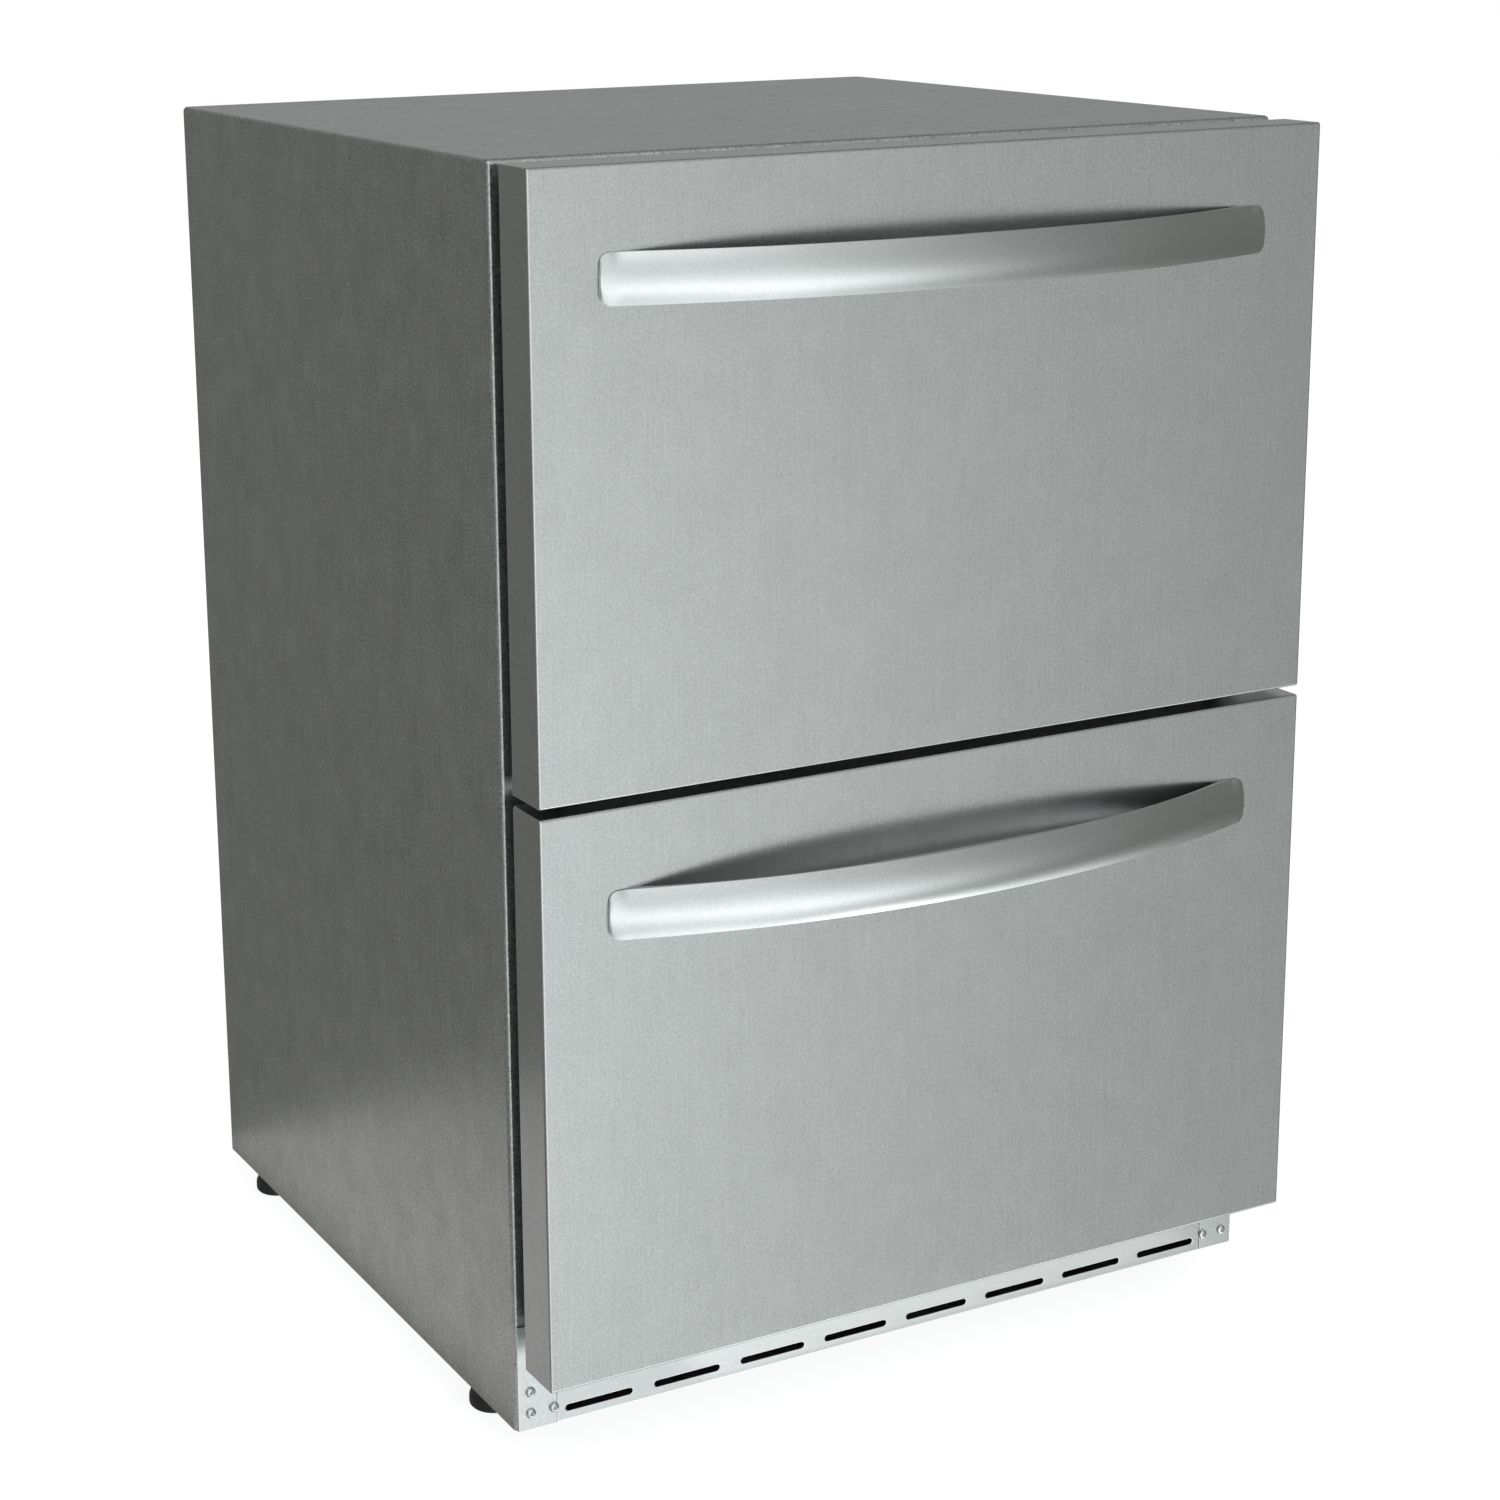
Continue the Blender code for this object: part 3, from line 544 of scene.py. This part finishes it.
def make_screws():
    """Button heads with a six-sided socket."""
    for i in range(1, 7):
        node = f"kick_screw_{i}"
        low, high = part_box(node)
        centre = (low + high) / 2
        radius = (high.x - low.x) / 2
        seat = low.y + 0.0022
        dome = [(0.0, 0.0022)]
        for k in range(1, 9):
            turn = math.radians(90 * k / 8)
            dome.append((radius * math.sin(turn), 0.0004 + 0.0018 * math.cos(turn)))
        dome += [(radius, 0.0), (0.0025, -0.0001), (0.0025, -0.0013), (0.0014, -0.0015), (0.0014, -0.0075),
                 (0.0010, -0.0079), (0.0, -0.0079)]
        screw = turned(f"button_screw_{i}", dome, (centre.x, seat, centre.z), 36, FRONT)
        hexagon = polygon_outline(centre.x, centre.z, 0.0019, 6)
        carve(screw, [cut_sheet("socket", [hexagon], "XZ", seat - 0.003, seat + 0.0006)])
        even_shading(screw, 40)
        finish_piece(screw, MATERIALS["screw_steel"], "root", "bright_steel", node)


def make_feet():
    """Levelling legs: a solid turned pad that flares out towards its foot, and a threaded stem."""
    for word in ("front_left", "front_right", "rear_left", "rear_right"):
        node = f"foot_{word}"
        low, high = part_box(node)
        centre = (low + high) / 2
        top = high.z - 0.040
        body = [(0.0049, top), (0.0140, top), (0.0146, 0.020), (0.0150, 0.0150), (0.0179, 0.0080),
                (0.0180, 0.0060), (0.0180, 0.0016), (0.0165, 0.0)]
        pad = [(0.0, top)] + rounded_profile(body, 0.0012, 3) + [(0.0, 0.0)]
        foot = turned(f"leg_{word}", pad, (centre.x, centre.y, 0.0), 40)
        pitch, turns = 0.00125, 24
        thread = [(0.0, top - 0.001)]
        for i in range(turns + 1):
            z = top + i * pitch
            thread += [(0.0041, z), (0.0049, z + pitch / 2)]
        thread += [(0.0040, high.z - 0.001), (0.0, high.z)]
        thread = [(r, min(z, high.z)) for r, z in thread]
        stem = turned(f"stem_{word}", thread[::-1], (centre.x, centre.y, 0.0), 24)
        leg = merge(f"levelling_leg_{word}", [foot, stem])
        even_shading(leg, 30)
        finish_piece(leg, MATERIALS["black_plastic"], node, "black_plastic", node)


# Drawers

def make_drawer_front(level):
    """A pan folded from sheet, open at the back but for a narrow return."""
    low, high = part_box(f"{level}_drawer_front")
    lip, thickness, fold_radius = 0.008, 0.0010, 0.0018
    pan = folded_sheet(f"{level}_front_pan", low, high, [BACK], BACK, lip, thickness, fold_radius)
    even_shading(pan)
    finish_piece(pan, MATERIALS["front_steel"], f"{level}_drawer", "stainless", f"{level}_drawer_front")


def make_handle(level):
    """A bowed strap: crowned front, a finger hook along its back, crisp arrises and rounded ends."""
    node = f"{level}_drawer_handle"
    low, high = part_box(node)
    seat, rise = high.y, high.y - low.y
    half = (high.x - low.x) / 2
    middle = (low.z + high.z) / 2
    half_height = (high.z - low.z) / 2
    end_radius = 0.0072    # of the corners, seen from the front
    pad = 0.022            # the length of each end that lies on the drawer front
    thickness = 0.0090     # in the middle
    tip = 0.0026           # thickness at the very ends
    crown = 0.0034         # how far the front face bulges
    ridge = -0.25          # the crown's ridge runs a little below the middle, -1 being the lower edge
    curl = 0.0050          # the foot of the back curls towards the drawer front by this much
    inner_power = 2.6      # how square the back's curve is; 2 would be a parabola

    def bow(x, reach, height):
        """How far an arc of that reach and height stands off its chord at x."""
        radius = (reach ** 2 + height ** 2) / (2 * height)
        return math.sqrt(max(0.0, radius ** 2 - x ** 2)) - (radius - height)

    steps, rows = 96, 14
    stations = [half * math.sin(math.pi / 2 * (2 * i / steps - 1)) for i in range(steps + 1)]
    work = bmesh.new()
    rings = []
    for x in stations:
        outer = seat - tip - bow(x, half, rise - tip)
        inner = seat
        if abs(x) < half - pad:
            inner = seat - (rise - thickness) * (1 - abs(x / (half - pad)) ** inner_power)
        depth = min(crown, 0.5 * (inner - outer))
        inset = min(end_radius, half - abs(x))
        corner = math.sqrt(max(0.0, end_radius ** 2 - (end_radius - inset) ** 2))
        height = half_height - end_radius + corner
        ring = []
        for k in range(rows + 1):
            v = 2 * k / rows - 1
            ring.append(work.verts.new((x, outer + depth * (v - ridge) ** 2, middle + height * v)))
        hook = min(curl, 0.45 * (seat - inner))
        for k in range(rows, -1, -1):
            v = 2 * k / rows - 1
            foot = max(0.0, -0.3 - v) / 0.7
            ring.append(work.verts.new((x, inner + hook * foot ** 2, middle + height * v)))
        rings.append(ring)
    for first, second in zip(rings, rings[1:]):
        for k in range(len(first)):
            m = (k + 1) % len(first)
            work.faces.new((first[k], first[m], second[m], second[k]))
    work.faces.new(rings[0])
    work.faces.new(rings[-1])
    bmesh.ops.recalc_face_normals(work, faces=work.faces)
    handle = link(f"{level}_strap_handle", work)
    soften(handle, 0.0006, 3, 40)
    even_shading(handle)
    finish_piece(handle, MATERIALS["handle_steel"], f"{level}_drawer", "handle_steel", node)


def make_gasket(level):
    """A magnetic seal: a barb strip, a bellows and a magnet pocket, mitred round the front."""
    node = f"{level}_drawer_gasket"
    low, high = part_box(node)
    depth = high.y - low.y
    width = 0.014
    section = [(0.0, 0.0), (1.0, 0.0), (1.0, 0.16), (0.80, 0.20), (0.80, 0.30), (0.98, 0.42),
               (0.80, 0.54), (0.80, 0.60), (1.0, 0.64), (1.0, 0.94), (0.94, 1.0), (0.06, 1.0),
               (0.0, 0.94), (0.0, 0.64), (0.20, 0.60), (0.20, 0.54), (0.02, 0.42), (0.20, 0.30),
               (0.20, 0.20), (0.0, 0.16)]
    section = rounded_profile(section + section[:1], 0.05, 2)[1:-1]
    corners = [(low.x, low.z, 1, 1), (high.x, low.z, -1, 1),
               (high.x, high.z, -1, -1), (low.x, high.z, 1, -1)]
    work = bmesh.new()
    rings = []
    for x, z, inward_x, inward_z in corners:
        rings.append([work.verts.new((x + inward_x * width * a, low.y + depth * b, z + inward_z * width * a))
                      for a, b in section])
    for i in range(4):
        first, second = rings[i], rings[(i + 1) % 4]
        for k in range(len(section)):
            m = (k + 1) % len(section)
            work.faces.new((first[k], first[m], second[m], second[k]))
    bmesh.ops.recalc_face_normals(work, faces=work.faces)
    seal = link(f"{level}_seal", work)
    even_shading(seal, 25)
    finish_piece(seal, MATERIALS["seal_rubber"], f"{level}_drawer", "seal_rubber", node)


def make_tray(level):
    """A deep-drawn tray: round corners, a rolled rim and rows of air slots."""
    node = f"{level}_drawer_tray"
    low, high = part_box(node)
    radius = 0.014
    work = box_mesh(low, high)
    bmesh.ops.delete(work, geom=[f for f in work.faces if f.normal.z > 0.9], context="FACES_ONLY")
    bends = [e for e in work.edges if not e.is_boundary]
    bmesh.ops.bevel(work, geom=bends, offset=radius, segments=5, profile=0.5,
                    affect="EDGES", clamp_overlap=True)
    shell = link(f"{level}_food_tray", work)
    thicken(shell, 0.0010)
    settle(shell)
    cutters = []
    for z in (low.z + 0.060, low.z + 0.084):
        count = 7 if level == "upper" else 4
        span = high.y - low.y - 0.10
        for i in range(count):
            y = low.y + 0.050 + span * (i + 0.5) / count
            outline = slot_outline(y, z, 0.036, 0.007, 5)
            cutters.append(cut_sheet("slot", [outline], "YZ", low.x - 0.01, high.x + 0.01))
        for i in range(8):
            x = low.x + (high.x - low.x) * (i + 0.5) / 8
            outline = slot_outline(x, z, 0.036, 0.007, 5)
            cutters.append(cut_sheet("slot", [outline], "XZ", high.y - 0.01, high.y + 0.01))
    carve(shell, cutters)
    inset = 0.0011
    rim_radius = 0.0030
    outline = rounded_outline(low.x + inset, low.y + rim_radius, high.x - inset, high.y - rim_radius,
                              (radius,) * 4, 8)
    rim_points = [(x, y, high.z - rim_radius) for x, y in outline]
    rim = ring_tube(f"{level}_tray_rim", rim_points, rim_radius * 0.9)
    tray = merge(f"{level}_tray", [shell, rim])
    even_shading(tray, 30)
    finish_piece(tray, MATERIALS["tray_steel"], f"{level}_drawer", "liner_steel", node)


# Controls, lamp and cord gland

def make_buttons():
    """Round caps with a shallow dish for the finger."""
    for word in ("set", "up", "down"):
        node = f"{word}_button"
        low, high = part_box(node)
        centre = (low + high) / 2
        radius = (high.x - low.x) / 2
        length = high.y - low.y
        cap = [(0.0, length - 0.0006), (radius * 0.45, length - 0.0004), (radius * 0.72, length),
               (radius - 0.0001, length), (radius, length - 0.0009), (radius, 0.0)]
        profile = rounded_profile(cap, 0.0006, 4) + [(0.0, 0.0)]
        button = turned(f"{word}_cap", profile, (centre.x, high.y, centre.z), 40, FRONT)
        even_shading(button, 40)
        finish_piece(button, MATERIALS["white_plastic"], node, "white_plastic", node)


def make_display():
    """A blank dark window let into the control housing, to the left of the buttons."""
    low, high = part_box("control_housing")
    left, right = low.x + 0.012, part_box("set_button")[0].x - 0.010
    outline = rounded_outline(left, low.z + 0.005, right, high.z - 0.006, (0.0015,) * 4)
    window = cut_sheet("display_window", [outline], "XZ", low.y - 0.0005, low.y + 0.0005, 0.0003)
    even_shading(window)
    finish_piece(window, MATERIALS["display"], "root", "black_plastic")


def make_lamp():
    """A strip lamp with a ribbed diffuser."""
    low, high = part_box("interior_light")
    ribs, steps = 9, 6
    edge = 0.0015
    width = (high.y - low.y - 2 * edge) / ribs
    outline = [(high.y, low.z + 0.002), (high.y, high.z), (low.y, high.z), (low.y, low.z + 0.002)]
    for i in range(ribs):
        for k in range(steps + 1):
            turn = math.pi * k / steps
            y = low.y + edge + width * (i + 0.5 - 0.46 * math.cos(turn))
            outline.append((y, low.z + 0.0012 - 0.0012 * math.sin(turn)))
    lens = cut_sheet("strip_lamp", [outline], "YZ", low.x, high.x, 0.0)
    even_shading(lens, 50)
    finish_piece(lens, MATERIALS["lamp_lens"], "root", "lamp_lens", "interior_light")


def make_gland():
    """A flanged gland with a domed nut, open where the supply cord comes out."""
    low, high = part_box("cord_gland")
    centre = (low + high) / 2
    length = high.y - low.y
    radius = (high.x - low.x) / 2
    mouth, neck = 0.0040, 0.0095
    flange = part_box("rear_machine_cover")[1].y - low.y + 0.0002
    shape = [(mouth, 0.0), (neck, 0.0), (neck, flange), (radius, flange), (radius, flange + 0.0016),
             (neck + 0.0005, flange + 0.0020), (neck - 0.0008, length), (mouth, length), (mouth, 0.0)]
    gland = turned("gland", rounded_profile(shape, 0.0007, 3)[:-1], (centre.x, low.y, centre.z), 40, BACK)
    even_shading(gland, 40)
    finish_piece(gland, MATERIALS["black_plastic"], "root", "black_plastic", "cord_gland")


# CAD nodes that keep their shape: the finish of each, and how far its edges are rounded

KEPT = {
    "galvanised": [("back_panel", 0.0003), ("rear_machine_cover", 0.0003), ("base_pan", 0.0003),
                   ("case_floor", 0.0), ("condenser_fan_shroud", 0.0003)],
    "liner_steel": [("inner_liner", 0.0), ("evaporator_cover", 0.0003)],
    "foam": [("insulation_foam", 0.0)],
    "wrap_steel": [("centre_rail", 0.0008)],
    "grey_plastic": [("front_frame", 0.0008), ("evaporator_fan_motor", 0.0008),
                     ("control_housing", 0.0006)],
    "slide_steel": [(f"{level}_slide_{kind}_{word}", 0.0003)
                    for level in LEVELS for kind in ("rail", "middle", "runner") for word, _ in SIDES],
    "white_plastic": [("upper_drawer_core", 0.0010), ("lower_drawer_core", 0.0010),
                      ("evaporator_fan", 0.0003)],
    "black_plastic": [("condenser_fan", 0.0003)],
    "black_enamel": [("compressor", 0.0010), ("condenser_coil", 0.0002)],
    "copper": [("filter_drier", 0.0), ("liquid_tube", 0.0)],
    "aluminium": [("evaporator_coil", 0.0002)],
}


def dress_kept_nodes():
    """Gives the kept nodes their materials, rounded edges and even shading."""
    for finish, entries in KEPT.items():
        for node, edge in entries:
            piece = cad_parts[node]
            piece.data.materials.clear()
            piece.data.materials.append(MATERIALS[finish])
            weld = piece.modifiers.new("weld", "WELD")
            weld.merge_threshold = 0.00001
            if edge:
                soften(piece, edge, 2, 40)
            shading = piece.modifiers.new("normals", "WEIGHTED_NORMAL")
            shading.weight = 60


# Studio

def make_camera():
    """The camera that took the photograph, as fitted to the object's corners."""
    azimuth, elevation = math.radians(CAMERA_AZIMUTH), math.radians(CAMERA_ELEVATION)
    back = Vector((math.sin(azimuth) * math.cos(elevation), -math.cos(azimuth) * math.cos(elevation),
                   math.sin(elevation)))
    right = UP.cross(back).normalized()
    up = back.cross(right)
    turn = Matrix((right, up, back)).transposed()
    roll = Matrix.Rotation(math.radians(CAMERA_ROLL), 3, "Z")
    data = bpy.data.cameras.new("camera")
    data.sensor_width = 36.0
    data.lens = CAMERA_LENS
    data.shift_x, data.shift_y = CAMERA_SHIFT
    data.clip_start, data.clip_end = 0.05, 50.0
    camera = bpy.data.objects.new("camera", data)
    camera.matrix_world = Matrix.Translation(CAMERA_TARGET + back * CAMERA_DISTANCE) @ (turn @ roll).to_4x4()
    bpy.context.scene.collection.objects.link(camera)
    bpy.context.scene.camera = camera


def direction(azimuth, elevation):
    """Azimuth is measured at the object from its front (-Y) towards its right (+X)."""
    a, e = math.radians(azimuth), math.radians(elevation)
    return Vector((math.sin(a) * math.cos(e), -math.cos(a) * math.cos(e), math.sin(e)))


# Soft light cards all round the object: azimuth, elevation, sharpness, strength
ROOM_LEVEL = 0.168
ROOM_COLOUR = (0.975, 1.0, 0.945)
CARD_COLOUR = (0.94, 1.0, 1.0)
CARDS = [
    (-10, 55, 12.0, 0.73),
    (-10, 35, 4.0, 0.505),
    (0, -8, 8.0, 0.50),
    (-12, -14, 30.0, 0.35),
    (0, -20, 8.0, 0.32),
    (15, -20, 30.0, 0.56),
    (34, -11, 30.0, 0.06),
    (152, 15, 8.0, 0.194),
    (0, -50, 30.0, 0.9),
    (32, -52, 60.0, 2.5),
    (60, -50, 30.0, 1.3),
    (110, 5, 20.0, 0.2),
]


def make_world():
    """A dim room with broad soft cards, seen in the steel; the camera itself sees plain white."""
    world = bpy.data.worlds.new("studio")
    world.use_nodes = True
    bpy.context.scene.world = world
    tree = world.node_tree
    tree.nodes.clear()
    place = tree.nodes.new("ShaderNodeTexCoord")
    total = 0.0
    for azimuth, elevation, sharpness, strength in CARDS:
        dot = tree.nodes.new("ShaderNodeVectorMath")
        dot.operation = "DOT_PRODUCT"
        dot.inputs[1].default_value = direction(azimuth, elevation)
        tree.links.new(place.outputs["Generated"], dot.inputs[0])
        fall = combine(tree, combine(tree, dot.outputs["Value"], 1.0, "SUBTRACT"), sharpness, "MULTIPLY")
        glow = combine(tree, math.e, fall, "POWER")
        total = combine(tree, combine(tree, glow, strength, "MULTIPLY"), total)
    cards = tree.nodes.new("ShaderNodeBackground")
    cards.inputs["Color"].default_value = (*CARD_COLOUR, 1.0)
    tree.links.new(total, cards.inputs["Strength"])
    dim = tree.nodes.new("ShaderNodeBackground")
    dim.inputs["Color"].default_value = (*ROOM_COLOUR, 1.0)
    dim.inputs["Strength"].default_value = ROOM_LEVEL
    room = tree.nodes.new("ShaderNodeAddShader")
    tree.links.new(cards.outputs["Background"], room.inputs[0])
    tree.links.new(dim.outputs["Background"], room.inputs[1])
    white = tree.nodes.new("ShaderNodeBackground")
    white.inputs["Color"].default_value = (1.0, 1.0, 1.0, 1.0)
    light_path = tree.nodes.new("ShaderNodeLightPath")
    mix = tree.nodes.new("ShaderNodeMixShader")
    output = tree.nodes.new("ShaderNodeOutputWorld")
    tree.links.new(light_path.outputs["Is Camera Ray"], mix.inputs["Fac"])
    tree.links.new(room.outputs["Shader"], mix.inputs[1])
    tree.links.new(white.outputs["Background"], mix.inputs[2])
    tree.links.new(mix.outputs["Shader"], output.inputs["Surface"])


FLOOR_SIZE = 14.0
FLOOR_GLOW = 0.85


def make_floor():
    """A plain white floor, lit from below like a light table so that shadows on it stay faint."""
    work = bmesh.new()
    bmesh.ops.create_grid(work, x_segments=1, y_segments=1, size=FLOOR_SIZE / 2)
    floor = link("floor", work)
    material, shader = shader_of("floor", (0.55, 0.55, 0.55), 0.9, 0.0)
    shader.inputs["Emission Color"].default_value = (1.0, 1.0, 1.0, 1.0)
    shader.inputs["Emission Strength"].default_value = FLOOR_GLOW
    floor.data.materials.append(material)
    floor.visible_glossy = False


# Low reflectors lying on the floor: centre x and y, width, depth, brightness
FLOOR_CARDS = {
    "left": (-0.47, 0.05, 0.28, 0.70, 0.224),
    "front": (0.09, -0.315, 0.44, 0.09, 0.27),
}


def make_floor_cards():
    """The pale floor close to the object, as the foot of its side panel and its kick strip see it."""
    for word, (x, y, width, depth, brightness) in FLOOR_CARDS.items():
        data = bpy.data.lights.new(f"floor_card_{word}", "AREA")
        data.shape = "RECTANGLE"
        data.size, data.size_y = width, depth
        data.energy = brightness * math.pi * width * depth
        light = bpy.data.objects.new(f"floor_card_{word}", data)
        light.location = (x, y, 0.002)
        light.rotation_euler = (math.pi, 0.0, 0.0)
        light.visible_camera = False
        bpy.context.scene.collection.objects.link(light)


def make_studio():
    """Camera, light and floor."""
    bpy.context.scene.view_settings.view_transform = "Standard"
    make_camera()
    make_world()
    make_floor()
    make_floor_cards()


make_wrap()
make_kick_strip()
make_screws()
make_feet()
for level in LEVELS:
    make_drawer_front(level)
    make_handle(level)
    make_gasket(level)
    make_tray(level)
make_buttons()
make_display()
make_lamp()
make_gland()
dress_kept_nodes()
make_studio()
